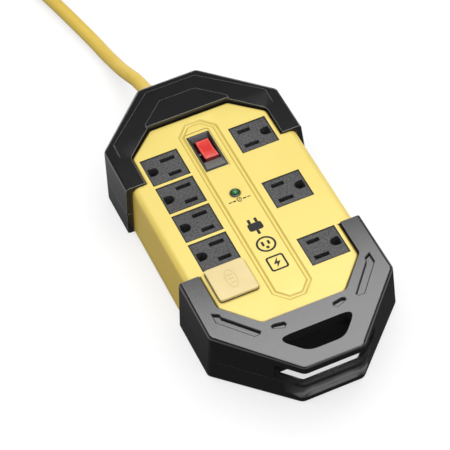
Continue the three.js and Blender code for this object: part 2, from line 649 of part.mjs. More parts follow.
// Side profile of the rocker about its pivot: round ends, a shallow hollow in the top
function rocker() {
  const { r, w, tilt } = ROCKER;
  const rise = THREE.MathUtils.degToRad(22);
  const profile = new THREE.Shape();
  profile.moveTo(r * Math.cos(rise), r * Math.sin(rise));
  profile.quadraticCurveTo(0, 1.6, -r * Math.cos(rise), r * Math.sin(rise));
  profile.absarc(0, 0, r, Math.PI - rise, Math.PI + rise, false);
  profile.lineTo(-4, -6.5);
  profile.lineTo(4, -6.5);
  profile.absarc(0, 0, r, -rise, rise, false);
  const body = new THREE.ExtrudeGeometry(profile, { depth: w, bevelEnabled: false, curveSegments: 10 });
  body.translate(0, 0, -w / 2).rotateY(Math.PI / 2).rotateX(Math.PI / 2);
  const bore = new THREE.CylinderGeometry(PIN_R + GAP, PIN_R + GAP, w + 2, 12).rotateZ(Math.PI / 2);
  const shape = geometryOf(solid(body).subtract(solid(bore)));
  return shape.rotateX(THREE.MathUtils.degToRad(-tilt)).translate(ROCKER.x, ROCKER.y, ROCKER.pivotZ);
}

add('rocker', rocker(), rockerRed);

const pin = new THREE.CylinderGeometry(PIN_R, PIN_R, SWITCH.w - 3.6, 12).rotateZ(Math.PI / 2);
add('rocker_pin', pin.translate(SWITCH.x, ROCKER.y, ROCKER.pivotZ), steel);

// ---- Indicator lamp -------------------------------------------------------------------------------

function ringOf(profile, segments) {
  return new THREE.LatheGeometry(profile.map((p) => new THREE.Vector2(...p)), segments).rotateX(Math.PI / 2);
}

const lens = [[0, DECK_Z - 8], [LAMP_R, DECK_Z - 8], [LAMP_R, DECK_Z + 0.4], [2.1, DECK_Z + 1.3],
  [1.3, DECK_Z + 2.1], [0, DECK_Z + 2.4]];
add('lamp_lens', ringOf(lens, 20).translate(0, LAMP_Y, 0), lampGreen);
const collar = [[2.75, DECK_Z + 0.2], [3.4, DECK_Z + 0.2], [3.4, DECK_Z + 0.6], [3, DECK_Z + 0.9],
  [2.75, DECK_Z + 0.9], [2.75, DECK_Z + 0.2]];
add('lamp_collar', ringOf(collar, 20).translate(0, LAMP_Y, 0), switchBlack);

// ---- Surge board ----------------------------------------------------------------------------------

const BOARD_Z = 9.5;
add('circuit_board', block(-16, 16, -34, 30, BOARD_Z, BOARD_Z + 1.6), boardGreen);
[[-8.5, 20], [8.5, 20], [0, 4]].forEach(([x, y], i) => {
  add(`varistor_${i + 1}`, upright(x, y, 7, BOARD_Z + 1.9, BOARD_Z + 6.2, 20), discBlue);
});
const choke = [[3.5, 0], [8, 0], [8, 5.5], [3.5, 5.5], [3.5, 0]];
add('noise_choke', ringOf(choke, 20).translate(-6.5, -14, BOARD_Z + 1.9), brass);
add('thermal_fuse', lengthwise(9, BOARD_Z + 4.2, 2, -24, -8, 12), steel);

// ---- Cord -----------------------------------------------------------------------------------------

// The moulded boot: a flange inside the wall, a neck through it and a taper outside
function strainRelief() {
  const { length, rootR, tipR, flangeR, neckR } = BOOT;
  const profile = [[0, -11], [flangeR, -11], [flangeR, -8.6], [neckR, -8.6], [neckR, 1.6], [rootR, 1.6],
    [rootR, 4.5], [tipR, length], [0, length]];
  const boot = new THREE.LatheGeometry(profile.map((p) => new THREE.Vector2(...p)), 20);
  return boot.translate(EXIT_X, exitY, GROOVE_Z);
}

add('strain_relief', strainRelief(), cordYellow);

const coilHeight = COIL.layers * 2 * CORD_R;
const coilTop = COIL.floor + coilHeight;

function coilSolid(grow) {
  const inner = COIL.inner - CORD_R - grow;
  const outer = COIL.outer + CORD_R + grow;
  const low = COIL.floor - grow;
  const high = coilTop + grow;
  const soft = 3;
  const profile = [
    [inner + soft, low], [outer - soft, low], [outer, low + soft], [outer, high - soft],
    [outer - soft, high], [inner + soft, high], [inner, high - soft], [inner, low + soft],
    [inner + soft, low],
  ];
  return ringOf(profile, 40).translate(COIL.x, COIL.y, 0);
}

add('cord_coil', coilSolid(0), cordYellow);
add('cord_lead', solid(tube(LEAD_ROUTE, CORD_R, 22, 10)).subtract(solid(coilSolid(GAP))), cordYellow);

// A strap round the coil's section
function cordTie() {
  const { width, thick, angle } = TIE;
  const inner = Math.sqrt((COIL.inner - CORD_R) ** 2 - (width / 2) ** 2) - GAP;
  const outer = COIL.outer + CORD_R + GAP;
  const low = thick;
  const high = coilTop + GAP;
  return block(inner - thick, outer + thick, -width / 2, width / 2, 0, high + thick)
    .subtract(block(inner, outer, -width, width, low, high))
    .rotate([0, 0, angle]).translate([COIL.x, COIL.y, 0]);
}

add('cord_tie', cordTie(), switchBlack);

// The plug lies on the coil along a chord, blades towards +X
const plugY = COIL.y + PLUG.y;
const plugZ = coilTop + GAP + PLUG.halfHeight;
const plugBackX = COIL.x + PLUG.backX;
const plugFaceX = plugBackX + PLUG.length;

function plugBody() {
  const rings = [[0, 7.5, 7.5], [6, 9.5, 9.5], [16, 10.5, 10.5], [22, 13.4, 13], [PLUG.length, 13.4, 13]];
  const sides = 20;
  const stack = rings.map(([z, halfWidth, halfHeight]) => ({
    z,
    points: Array.from({ length: sides }, (_, i) => {
      const angle = (2 * Math.PI * (i + 0.5)) / sides;
      const square = 0.7; // below 1 the section squares up from an ellipse
      const part = (value) => Math.sign(value) * Math.abs(value) ** square;
      return [halfHeight * part(Math.cos(angle)), halfWidth * part(Math.sin(angle))];
    }),
  }));
  return loft(stack).rotateY(Math.PI / 2).translate(plugBackX, plugY, plugZ);
}

add('plug_body', plugBody(), cordYellow);

const plugBoot = new THREE.LatheGeometry([[0, 0], [5.4, 0], [6.6, PLUG.boot], [0, PLUG.boot]]
  .map((p) => new THREE.Vector2(...p)), 16);
plugBoot.rotateZ(-Math.PI / 2).translate(plugBackX - GAP - PLUG.boot, plugY, plugZ);
add('plug_boot', plugBoot, cordYellow);
const tailPoints = TAIL_ROUTE.map(([x, y, z]) => [COIL.x + x, COIL.y + y, z]);
add('cord_tail', tube(tailPoints, CORD_R, 10, 10), cordYellow);

[-1, 1].forEach((side, i) => {
  const y = plugY + (side * SLOT_PITCH) / 2;
  const z = plugZ + BLADE.up;
  add(`plug_blade_${i + 1}`, block(plugFaceX + GAP, plugFaceX + GAP + BLADE.long, y - BLADE.thick / 2,
    y + BLADE.thick / 2, z - BLADE.wide / 2, z + BLADE.wide / 2), brass);
});
const groundPin = new THREE.CylinderGeometry(GROUND_PIN.r, GROUND_PIN.r, GROUND_PIN.long, 12);
groundPin.rotateZ(Math.PI / 2)
  .translate(plugFaceX + GAP + GROUND_PIN.long / 2, plugY, plugZ + BLADE.up - GROUND_PIN.below);
add('plug_ground_pin', groundPin, brass);

// ---- Leads inside the housing -----------------------------------------------------------------------

const leadStart = exitY - 12;
const LEAD_R = 1.4;
const hotRoute = [
  [EXIT_X - 4, leadStart, 17], [EXIT_X - 4, 98, 14], [-3, 84, 12], [-3, 66, 11.5], [-3, 50, 11.5],
];
const neutralRoute = [
  [EXIT_X, leadStart, 21], [-12, 98, 20], [-20, 86, 14], [-23.6, 72, 13], [-23.6, 60, 13],
];
const groundRoute = [
  [EXIT_X + 4, leadStart, 14], [6, 98, 12], [24, 88, 12], [36, 76, 12], [37.9, 62, 12],
];
add('hot_lead', tube(hotRoute, LEAD_R, 14, 8), switchBlack);
add('neutral_lead', tube(neutralRoute, LEAD_R, 14, 8), leadWhite);
add('ground_lead', tube(groundRoute, LEAD_R, 14, 8), leadGreen);

export default group;
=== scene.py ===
import math

import bmesh
import bpy
from mathutils import Matrix, Vector


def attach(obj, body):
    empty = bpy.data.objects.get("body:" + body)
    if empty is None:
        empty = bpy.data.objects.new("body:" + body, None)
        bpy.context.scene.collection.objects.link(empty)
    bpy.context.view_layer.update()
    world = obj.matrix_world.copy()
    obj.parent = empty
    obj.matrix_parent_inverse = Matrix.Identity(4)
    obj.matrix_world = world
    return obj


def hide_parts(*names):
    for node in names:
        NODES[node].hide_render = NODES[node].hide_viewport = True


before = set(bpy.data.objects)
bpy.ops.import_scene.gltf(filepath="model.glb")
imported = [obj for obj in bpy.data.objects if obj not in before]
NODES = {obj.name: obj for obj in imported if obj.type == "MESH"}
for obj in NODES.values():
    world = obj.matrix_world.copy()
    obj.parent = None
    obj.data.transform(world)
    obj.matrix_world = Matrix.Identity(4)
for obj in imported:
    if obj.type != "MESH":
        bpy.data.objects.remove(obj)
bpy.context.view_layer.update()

MM = 0.001

# Heights and places that the route of the cord shares with the part, in metres
COIL_X, COIL_Y = 0.024, 0.3396
COIL_OUTER, COIL_INNER = 0.06975, 0.03975
COIL_FLOOR = 0.0013
COIL_LAYERS = 3
TURNS_PER_LAYER = 3.25
CORD_D = 0.009


# ---- Camera -----------------------------------------------------------------------------------------

LENS, SENSOR_WIDTH = 184, 36  # millimetres
CAMERA_ANGLES = (-18.98, 48.94, -6.31)  # azimuth, elevation and roll, in degrees
CAMERA_PLACE = (-0.3117, -0.8641, 1.0821)


def look_axes(azimuth, elevation, roll):
    """Right, up and back of a camera that looks along +Y at azimuth 0."""
    a, e, r = (math.radians(v) for v in (azimuth, elevation, roll))
    back = Vector((math.sin(a) * math.cos(e), -math.cos(a) * math.cos(e), math.sin(e)))
    right = Vector((0, 0, 1)).cross(back).normalized()
    up = back.cross(right)
    turned = right * math.cos(r) + up * math.sin(r)
    return turned, back.cross(turned), back


def make_camera():
    data = bpy.data.cameras.new("camera")
    data.lens = LENS
    data.sensor_width = SENSOR_WIDTH
    data.clip_start = 0.05
    data.clip_end = 20
    camera = bpy.data.objects.new("camera", data)
    bpy.context.scene.collection.objects.link(camera)
    right, up, back = look_axes(*CAMERA_ANGLES)
    place = Matrix((right, up, back)).transposed().to_4x4()
    place.translation = Vector(CAMERA_PLACE)
    camera.matrix_world = place
    bpy.context.scene.camera = camera


make_camera()


# ---- Mesh helpers -----------------------------------------------------------------------------------

def new_object(name, mesh, body="housing", material=None):
    """A piece that rides a body, with its material."""
    obj = bpy.data.objects.new(name, mesh)
    bpy.context.scene.collection.objects.link(obj)
    if material:
        obj.data.materials.clear()
        obj.data.materials.append(material)
    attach(obj, body)
    return obj


def mesh_from(name, bm, smooth=True):
    """A mesh with its faces turned outwards, smooth or flat."""
    mesh = bpy.data.meshes.new(name)
    bmesh.ops.recalc_face_normals(bm, faces=bm.faces)
    bm.to_mesh(mesh)
    bm.free()
    if smooth:
        for polygon in mesh.polygons:
            polygon.use_smooth = True
    return mesh


def swept(points, radius, sides):
    """A closed round bar through points, square to its own line."""
    bm = bmesh.new()
    points = [Vector(p) for p in points]
    heading = (points[1] - points[0]).normalized()
    across = heading.cross(Vector((0, 0, 1))).normalized()
    rings = []
    for i, point in enumerate(points):
        heading = (points[min(i + 1, len(points) - 1)] - points[max(i - 1, 0)]).normalized()
        across = (across - heading * across.dot(heading)).normalized()
        over = across.cross(heading)
        ring = []
        for k in range(sides):
            angle = 2 * math.pi * k / sides
            ring.append(bm.verts.new(point + radius * (across * math.cos(angle) + over * math.sin(angle))))
        rings.append(ring)
    for a, b in zip(rings, rings[1:]):
        for k in range(sides):
            bm.faces.new((a[k], a[(k + 1) % sides], b[(k + 1) % sides], b[k]))
    bm.faces.new(list(reversed(rings[0])))
    bm.faces.new(rings[-1])
    return bm


def catmull(points, per_span):
    """Points along a smooth line through given ones."""
    points = [Vector(p) for p in points]
    padded = [2 * points[0] - points[1]] + points + [2 * points[-1] - points[-2]]
    line = []
    for i in range(1, len(padded) - 2):
        p0, p1, p2, p3 = padded[i - 1:i + 3]
        for k in range(per_span):
            t = k / per_span
            line.append(0.5 * (2 * p1 + (p2 - p0) * t + (2 * p0 - 5 * p1 + 4 * p2 - p3) * t * t
                               + (3 * p1 - p0 - 3 * p2 + p3) * t ** 3))
    line.append(points[-1])
    return line


# ---- Cord -------------------------------------------------------------------------------------------

# Millimetres: the lead from the part's own origin, the other two from the middle of the coil
LEAD_ROUTE = [
    (-9, 126, 17.35), (-9, 134, 17.35), (-9.4, 142.8, 17.35), (-10.2, 149, 17.0), (-11.2, 156, 15.9),
    (-12.7, 164, 13.7), (-13.8, 172, 11.0), (-14.6, 180, 8.4), (-15.4, 188, 6.3), (-16.5, 196, 5.0),
    (-17.9, 205, 4.6), (-19.7, 215, 4.6), (-23.8, 235, 4.6), (-28.4, 256, 4.6), (-33.4, 277, 4.6),
    (-38.2, 297, 4.7), (-42.3, 316, 5.3),
]
COIL_TOP_ROUTE = [(-8, -39.2, 25.2), (-21.5, -36.2, 29.6)]
TAIL_ROUTE = [
    (-34, -30, 33.4), (-46, -20, 33.8), (-56, -6, 34.8), (-61, 9, 36.3), (-59, 25, 38.2), (-51, 39, 40.2),
    (-39, 48.5, 41.4), (-25.5, 52, 41.6), (-18, 52, 41.6),
]
COIL_START = math.radians(192.1)  # where the lead meets the coil
STEPS_PER_TURN = 26
CLIMB_TURNS = 0.2  # how much of a turn the cord takes to climb a layer


def smooth_step(t):
    t = min(max(t, 0.0), 1.0)
    return t * t * (3 - 2 * t)


def coil_points():
    """Flat spirals stacked in layers, winding in, out and in again, clockwise from the lead."""
    points = []
    total = COIL_LAYERS * TURNS_PER_LAYER
    for i in range(1, int(total * STEPS_PER_TURN) + 1):
        turn = i / STEPS_PER_TURN
        layer = min(int(turn / TURNS_PER_LAYER), COIL_LAYERS - 1)
        part = turn / TURNS_PER_LAYER - layer
        inward = part if layer % 2 == 0 else 1 - part
        radius = COIL_OUTER + (COIL_INNER - COIL_OUTER) * inward
        climb = 0
        for step in range(1, COIL_LAYERS):
            climb += smooth_step((turn - step * TURNS_PER_LAYER) / CLIMB_TURNS + 0.5)
        angle = COIL_START - 2 * math.pi * turn
        points.append(Vector((COIL_X + radius * math.cos(angle), COIL_Y + radius * math.sin(angle),
                              COIL_FLOOR + CORD_D * (0.5 + climb))))
    return points


def from_coil(route):
    return [Vector((x, y, 0)) * MM + Vector((COIL_X, COIL_Y, z * MM)) for x, y, z in route]


def cord_line():
    """The cord's middle line: a smooth lead, the coil as it is, and a smooth climb to the plug."""
    lead = [Vector(p) * MM for p in LEAD_ROUTE]
    coil = coil_points()
    rise, tail = from_coil(COIL_TOP_ROUTE), from_coil(TAIL_ROUTE)
    return catmull(lead + coil[:1], 3)[:-1] + coil + catmull(coil[-1:] + rise + tail, 4)[1:]


def make_cord():
    points = cord_line()
    cord = new_object("cord", mesh_from("cord", swept(points, CORD_D / 2, 20)))
    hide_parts("cord_lead", "cord_coil", "cord_tail")
    return cord


cord = make_cord()


# ---- Materials --------------------------------------------------------------------------------------

EDGE_HIGHLIGHT_WIDTH = 0.0007  # of the painted highlight line along an edge, in metres
CREVICE_SHADE_REACH = 0.0022  # how near another surface has to be for the painted crevice shade, in metres
SCOOP_SHEEN_FADES = (  # painted sheen in the finger scoop: axis, where it starts and ends in metres, and what it leaves of the mask at each
    ("Z", 0.0058, 0.0078, 0.0, 1.0),
    ("Z", 0.009, 0.024, 1.0, 0.3),
    ("across", 0.012, 0.029, 1.0, 0.0),
    ("Y", -0.1125, -0.1115, 1.0, 0.0),
)


def fill_ramp(ramp, stops):
    """Sets a colour ramp's stops, each a place and a colour."""
    while len(ramp.elements) < len(stops):
        ramp.elements.new(0.5)
    for element, (place, colour) in zip(ramp.elements, stops):
        element.position = place
        element.color = (*colour, 1)


class Finish:
    """A Principled material with object-space noise helpers."""

    def __init__(self, name, roughness, metallic=0.0, specular=0.5, coat=0.0):
        self.mat = bpy.data.materials.new(name)
        self.mat.use_nodes = True
        self.tree = self.mat.node_tree
        self.shader = self.tree.nodes["Principled BSDF"]
        self.shader.inputs["Roughness"].default_value = roughness
        self.shader.inputs["Metallic"].default_value = metallic
        self.shader.inputs["Specular IOR Level"].default_value = specular
        self.shader.inputs["Coat Weight"].default_value = coat
        self.shader.inputs["Coat Roughness"].default_value = 0.05
        self.coords = self.node("ShaderNodeTexCoord").outputs["Object"]
        self.height = None

    def node(self, kind, **values):
        made = self.tree.nodes.new(kind)
        for key, value in values.items():
            setattr(made, key, value)
        return made

    def link(self, a, b):
        self.tree.links.new(a, b)

    def stretched(self, scale):
        mapping = self.node("ShaderNodeMapping")
        mapping.inputs["Scale"].default_value = scale
        self.link(self.coords, mapping.inputs["Vector"])
        return mapping.outputs["Vector"]

    def noise(self, scale, detail=4, roughness=0.55, vector=None):
        made = self.node("ShaderNodeTexNoise")
        made.inputs["Scale"].default_value = scale
        made.inputs["Detail"].default_value = detail
        made.inputs["Roughness"].default_value = roughness
        self.link(vector or self.coords, made.inputs["Vector"])
        return made.outputs["Fac"]

    def ramp(self, value, low, high, start=0.35, end=0.65):
        """Low up to start, high from end on, and a straight line between."""
        made = self.node("ShaderNodeMapRange")
        made.inputs["From Min"].default_value = start
        made.inputs["From Max"].default_value = end
        made.inputs["To Min"].default_value = low
        made.inputs["To Max"].default_value = high
        self.link(value, made.inputs["Value"])
        return made.outputs["Result"]

    def colours(self, value, stops):
        made = self.node("ShaderNodeValToRGB")
        fill_ramp(made.color_ramp, stops)
        self.link(value, made.inputs["Fac"])
        return made.outputs["Color"]

    def maths(self, operation, *values):
        made = self.node("ShaderNodeMath", operation=operation)
        for socket, value in zip(made.inputs, values):
            self.link(value, socket)
        return made.outputs[0]

    def mixed(self, amount, first, second, blend="MIX"):
        made = self.node("ShaderNodeMix", data_type="RGBA", blend_type=blend)
        for socket, value in ((made.inputs[0], amount), (made.inputs[6], first), (made.inputs[7], second)):
            if isinstance(value, bpy.types.NodeSocket):
                self.link(value, socket)
            else:
                socket.default_value = value if isinstance(value, float) else (*value, 1)
        return made.outputs[2]

    def base(self, value):
        self.link(value, self.shader.inputs["Base Color"])

    def steep_shade_mask(self, steep, level):
        """1 on faces whose normal's height is under steep, 0 where it is over level: where painted shade
        goes.
        """
        normal = self.node("ShaderNodeSeparateXYZ")
        self.link(self.node("ShaderNodeNewGeometry").outputs["Normal"], normal.inputs[0])
        return self.ramp(normal.outputs["Z"], 1.0, 0.0, steep, level)

    def crevice_shade_mask(self):
        """1 deep in a narrow gap, 0 in the open: where painted shade goes."""
        hidden = self.node("ShaderNodeAmbientOcclusion", samples=12)
        hidden.inputs["Distance"].default_value = CREVICE_SHADE_REACH
        return self.ramp(hidden.outputs["AO"], 1.0, 0.0, 0.45, 0.93)

    def edge_highlight_mask(self):
        """1 along edges, 0 on the faces between them, for a painted highlight: where a rounded normal leaves
        the face's own.
        """
        rounded_normal = self.node("ShaderNodeBevel", samples=6)
        rounded_normal.inputs["Radius"].default_value = EDGE_HIGHLIGHT_WIDTH
        product = self.node("ShaderNodeVectorMath", operation="DOT_PRODUCT")
        self.link(rounded_normal.outputs["Normal"], product.inputs[0])
        self.link(self.node("ShaderNodeNewGeometry").outputs["Normal"], product.inputs[1])
        return self.ramp(product.outputs["Value"], 1.0, 0.0, 0.90, 0.995)

    def scoop_sheen_mask(self):
        """1 in the finger scoop at the front of the handle, fading out at its rims: where a painted sheen
        goes.
        """
        place = self.node("ShaderNodeSeparateXYZ")
        self.link(self.coords, place.inputs[0])
        values = {"across": self.maths("ABSOLUTE", place.outputs["X"]), "Y": place.outputs["Y"],
                  "Z": place.outputs["Z"]}
        mask, *others = [self.ramp(values[axis], low, high, start, end)
                         for axis, start, end, low, high in SCOOP_SHEEN_FADES]
        for part in others:
            mask = self.maths("MULTIPLY", mask, part)
        return mask

    def rough(self, value):
        self.link(value, self.shader.inputs["Roughness"])

    def bump(self, value, distance):
        """Bumps add up: each new one stands on the last."""
        made = self.node("ShaderNodeBump")
        made.inputs["Distance"].default_value = distance
        made.inputs["Strength"].default_value = 1.0
        self.link(value, made.inputs["Height"])
        if self.height:
            self.link(self.height, made.inputs["Normal"])
        self.height = made.outputs["Normal"]
        self.link(self.height, self.shader.inputs["Normal"])


def moulded(name, dark, light, roughness, grain=2600, grain_depth=0.00002, mottle=28, speck=0.0, specular=0.5,
            scuff=0.03, sides=None, edge=None, scoop=None, crevice_shade=None):
    """Moulded plastic: slow colour drift, a fine spark-eroded grain and faint handling marks in the gloss.

    The last four are colours painted on: steep faces as shade, edges as a highlight, the finger scoop as a
    sheen and narrow gaps as shade."""
    finish = Finish(name, roughness=roughness, specular=specular)
    colour = finish.colours(finish.noise(mottle, detail=3), [(0.3, dark), (0.7, light)])
    if speck:
        pepper = finish.colours(finish.noise(grain * 0.6, detail=1),
                                [(0.35, (1 - speck,) * 3), (0.68, (1 + speck,) * 3)])
        colour = finish.mixed(1.0, colour, pepper, "MULTIPLY")
    # steep faces take a darker colour: painted shade
    if sides:
        colour = finish.mixed(finish.steep_shade_mask(0.5, 0.97), colour, sides)
    # edges take a paler colour: painted highlight
    if edge:
        colour = finish.mixed(finish.edge_highlight_mask(), colour, edge)
    # the finger scoop takes a paler colour: painted sheen
    if scoop:
        colour = finish.mixed(finish.scoop_sheen_mask(), colour, scoop)
    # narrow gaps take a darker colour: painted shade
    if crevice_shade:
        colour = finish.mixed(finish.crevice_shade_mask(), colour, crevice_shade)
    finish.base(colour)
    scuffs = finish.noise(90, detail=5, roughness=0.7, vector=finish.stretched((1.0, 4.0, 1.0)))
    finish.rough(finish.ramp(scuffs, roughness - scuff, roughness + scuff, 0.3, 0.7))
    finish.bump(finish.noise(grain, detail=2), grain_depth)
    return finish.mat


def glossy(name, dark, light, roughness, coat=0.6, ends=None):
    """Polished plastic, with another colour painted as shade on its steep faces if given."""
    finish = Finish(name, roughness=roughness, coat=coat, specular=0.3)
    colour = finish.colours(finish.noise(160, detail=2), [(0.3, dark), (0.7, light)])
    if ends:
        # steep faces take a darker colour: painted shade
        colour = finish.mixed(finish.steep_shade_mask(0.55, 0.85), colour, ends)
    finish.base(colour)
    finish.rough(finish.ramp(finish.noise(240, detail=4), roughness, roughness + 0.08))
    finish.bump(finish.noise(500, detail=2), 0.000008)
    return finish.mat


def metal(name, dark, light, roughness=0.3):
    """Finely brushed metal."""
    finish = Finish(name, roughness=roughness, metallic=1.0)
    brushed = finish.noise(600, detail=4, vector=finish.stretched((1.0, 30.0, 1.0)))
    finish.base(finish.colours(brushed, [(0.25, dark), (0.75, light)]))
    finish.rough(finish.ramp(brushed, roughness - 0.06, roughness + 0.1, 0.3, 0.7))
    finish.bump(brushed, 0.000006)
    return finish.mat


def jacket(name, dark, light):
    """Extruded cord jacket: a matte skin that shows the twist of the cores faintly."""
    finish = Finish(name, roughness=0.48, specular=0.3)
    finish.base(finish.colours(finish.noise(45, detail=4), [(0.3, dark), (0.7, light)]))
    finish.rough(finish.ramp(finish.noise(400, detail=3), 0.42, 0.58))
    finish.bump(finish.noise(110, detail=2), 0.00012)
    finish.bump(finish.noise(1900, detail=3), 0.00002)
    return finish.mat


def woven(name, dark, light):
    """Strap webbing: two crossed waves."""
    finish = Finish(name, roughness=0.85)
    warp = finish.node("ShaderNodeTexWave", wave_type="BANDS", bands_direction="X")
    weft = finish.node("ShaderNodeTexWave", wave_type="BANDS", bands_direction="Y")
    for wave in (warp, weft):
        wave.inputs["Scale"].default_value = 380
        wave.inputs["Distortion"].default_value = 0.6
        finish.link(finish.coords, wave.inputs["Vector"])
    cloth = finish.mixed(0.5, warp.outputs["Color"], weft.outputs["Color"])
    finish.base(finish.colours(cloth, [(0.2, dark), (0.8, light)]))
    finish.bump(cloth, 0.0002)
    return finish.mat


def board_finish(name):
    """Lacquered green board with a grid of paler traces."""
    finish = Finish(name, roughness=0.35, coat=0.3)
    traces = finish.node("ShaderNodeTexBrick")
    traces.inputs["Scale"].default_value = 120
    traces.inputs["Mortar Size"].default_value = 0.03
    traces.inputs["Color1"].default_value = (0.016, 0.13, 0.045, 1)
    traces.inputs["Color2"].default_value = (0.02, 0.16, 0.06, 1)
    traces.inputs["Mortar"].default_value = (0.05, 0.28, 0.12, 1)
    finish.link(finish.coords, traces.inputs["Vector"])
    finish.base(traces.outputs["Color"])
    finish.bump(traces.outputs["Fac"], 0.00004)
    return finish.mat


def winding(name):
    """Turns of enamelled copper wire."""
    finish = Finish(name, roughness=0.3, metallic=0.9)
    turns = finish.node("ShaderNodeTexWave", wave_type="RINGS", rings_direction="Z")
    turns.inputs["Scale"].default_value = 300
    finish.link(finish.coords, turns.inputs["Vector"])
    finish.base(finish.colours(turns.outputs["Fac"], [(0.1, (0.22, 0.07, 0.03)), (0.9, (0.72, 0.32, 0.14))]))
    finish.bump(turns.outputs["Fac"], 0.0002)
    return finish.mat


# The housing's steep faces take a darker yellow and its narrow gaps a near-black brown, both as painted
# shade.
YELLOW = moulded("yellow_housing", (0.72, 0.565, 0.125), (0.76, 0.605, 0.150), 0.42, grain_depth=0.00001,
                 mottle=9, specular=0.3, crevice_shade=(0.15, 0.095, 0.012), sides=(0.66, 0.47, 0.075))
YELLOW_SHADE = moulded("yellow_shade", (0.54, 0.40, 0.065), (0.58, 0.44, 0.080), 0.5, mottle=9, specular=0.2)
BUMPER_SKIN = {"dark": (0.009, 0.009, 0.010), "light": (0.012, 0.012, 0.013), "roughness": 0.21,
               "grain": 2200, "grain_depth": 0.000006, "speck": 0.15, "scuff": 0.008}
BUMPER = moulded("bumper_black", **BUMPER_SKIN)
# The cord-end bumper's edges take a grey line as a painted highlight.
EDGE_HIGHLIGHT_BUMPER = moulded("bumper_black_edge_highlight", **BUMPER_SKIN, edge=(0.2, 0.2, 0.203))
# The handle bumper's finger scoop takes a paler grey as a painted sheen.
SCOOP_SHEEN_BUMPER = moulded("bumper_black_scoop_sheen", **BUMPER_SKIN, scoop=(0.125, 0.125, 0.128))
OUTLET = moulded("outlet_grey", (0.038, 0.037, 0.038), (0.052, 0.051, 0.052), 0.60, grain=1500,
                 grain_depth=0.00005, speck=0.45, specular=0.2)
SWITCH = moulded("switch_black", (0.016, 0.015, 0.016), (0.028, 0.027, 0.029), 0.34)
CAP = moulded("cap_peach", (0.62, 0.49, 0.215), (0.66, 0.53, 0.245), 0.42, mottle=60, specular=0.3)
CAP_RELIEF = moulded("cap_relief", (0.55, 0.42, 0.165), (0.58, 0.45, 0.185), 0.42, mottle=60, specular=0.3)
SWITCH_GREY = moulded("switch_grey", (0.085, 0.080, 0.074), (0.11, 0.103, 0.095), 0.5, specular=0.3)
PLUG = moulded("plug_yellow", (0.60, 0.43, 0.09), (0.66, 0.48, 0.12), 0.48)
PRINT = moulded("print_black", (0.006, 0.006, 0.006), (0.012, 0.012, 0.012), 0.6, speck=0.1, specular=0.15)
# The rocker's steep ends take a dark red as painted shade.
ROCKER = glossy("rocker_red", (0.58, 0.014, 0.010), (0.70, 0.026, 0.016), 0.3, 0.0, ends=(0.14, 0.003, 0.003))
# A paler red for the rocker's rim, as a painted highlight.
ROCKER_RIM_HIGHLIGHT = glossy("rocker_rim_highlight", (0.66, 0.07, 0.05), (0.74, 0.10, 0.07), 0.3, 0.0)
# Dark steel for the crosses in the screw heads, as painted shade in the recesses.
SCREW_RECESS_SHADE = metal("steel_recess_shade", (0.03, 0.03, 0.03), (0.08, 0.08, 0.08), 0.5)
LAMP = glossy("lamp_green", (0.005, 0.10, 0.015), (0.012, 0.17, 0.03), 0.2, 0.1)
DISC = glossy("varistor_blue", (0.02, 0.07, 0.26), (0.04, 0.12, 0.42), 0.25)
STEEL = metal("plated_steel", (0.50, 0.51, 0.53), (0.70, 0.71, 0.73))
BRASS = metal("satin_brass", (0.62, 0.44, 0.17), (0.80, 0.62, 0.29))
BOARD = board_finish("circuit_board_green")
COPPER = winding("copper_winding")
CORD = jacket("cord_yellow", (0.62, 0.43, 0.06), (0.69, 0.49, 0.08))
TIE = woven("tie_black", (0.008, 0.008, 0.009), (0.05, 0.05, 0.055))
WIRE_BLACK = moulded("wire_black", (0.012, 0.012, 0.012), (0.02, 0.02, 0.02), 0.4)
WIRE_WHITE = moulded("wire_white", (0.7, 0.7, 0.67), (0.82, 0.82, 0.79), 0.4)
WIRE_GREEN = moulded("wire_green", (0.02, 0.20, 0.05), (0.04, 0.30, 0.08), 0.4)

cord.data.materials.append(CORD)


# ---- CAD nodes that keep their shape ------------------------------------------------------------------

def refine(node, material, edge=0.0, segments=2):
    """Gives a node its material and rounds its edges, by a width in millimetres."""
    obj = NODES[node]
    obj.data.materials.clear()
    obj.data.materials.append(material)
    for polygon in obj.data.polygons:
        polygon.use_smooth = True
        polygon.material_index = 0
    weld = obj.modifiers.new("weld", "WELD")
    weld.merge_threshold = 0.004 * MM
    if edge:
        bevel = obj.modifiers.new("edges", "BEVEL")
        bevel.limit_method = "ANGLE"
        bevel.angle_limit = math.radians(34)
        bevel.width = edge * MM
        bevel.segments = segments
        bevel.use_clamp_overlap = True
        bevel.miter_outer = "MITER_ARC"
        bevel.face_strength_mode = "FSTR_AFFECTED"
    normals = obj.modifiers.new("normals", "WEIGHTED_NORMAL")
    normals.mode = "FACE_AREA"
    normals.weight = 80
    normals.use_face_influence = True
    normals.keep_sharp = False


refine("top_cover", YELLOW, 0.3, 3)
refine("base_shell", YELLOW, 0.3)
for half in ("upper", "lower"):
    refine(f"cord_end_bumper_{half}", EDGE_HIGHLIGHT_BUMPER, 0.45, 3)
    refine(f"handle_bumper_{half}", BUMPER if half == "upper" else SCOOP_SHEEN_BUMPER, 0.45, 3)
for side, count in (("left", 5), ("right", 3)):
    for i in range(1, count + 1):
        refine(f"outlet_{side}_{i}", OUTLET, 0.2)
refine("safety_cover", CAP, 0.25)
refine("switch_bezel", SWITCH, 0.25)
refine("rocker", ROCKER, 0.5, 4)
refine("rocker_pin", SWITCH, 0.15)
refine("lamp_lens", LAMP)
refine("lamp_collar", SWITCH, 0.1)
refine("circuit_board", BOARD, 0.1)
for i in range(1, 4):
    refine(f"varistor_{i}", DISC, 0.8, 3)
refine("noise_choke", COPPER, 0.8, 3)
refine("thermal_fuse", STEEL, 0.3)
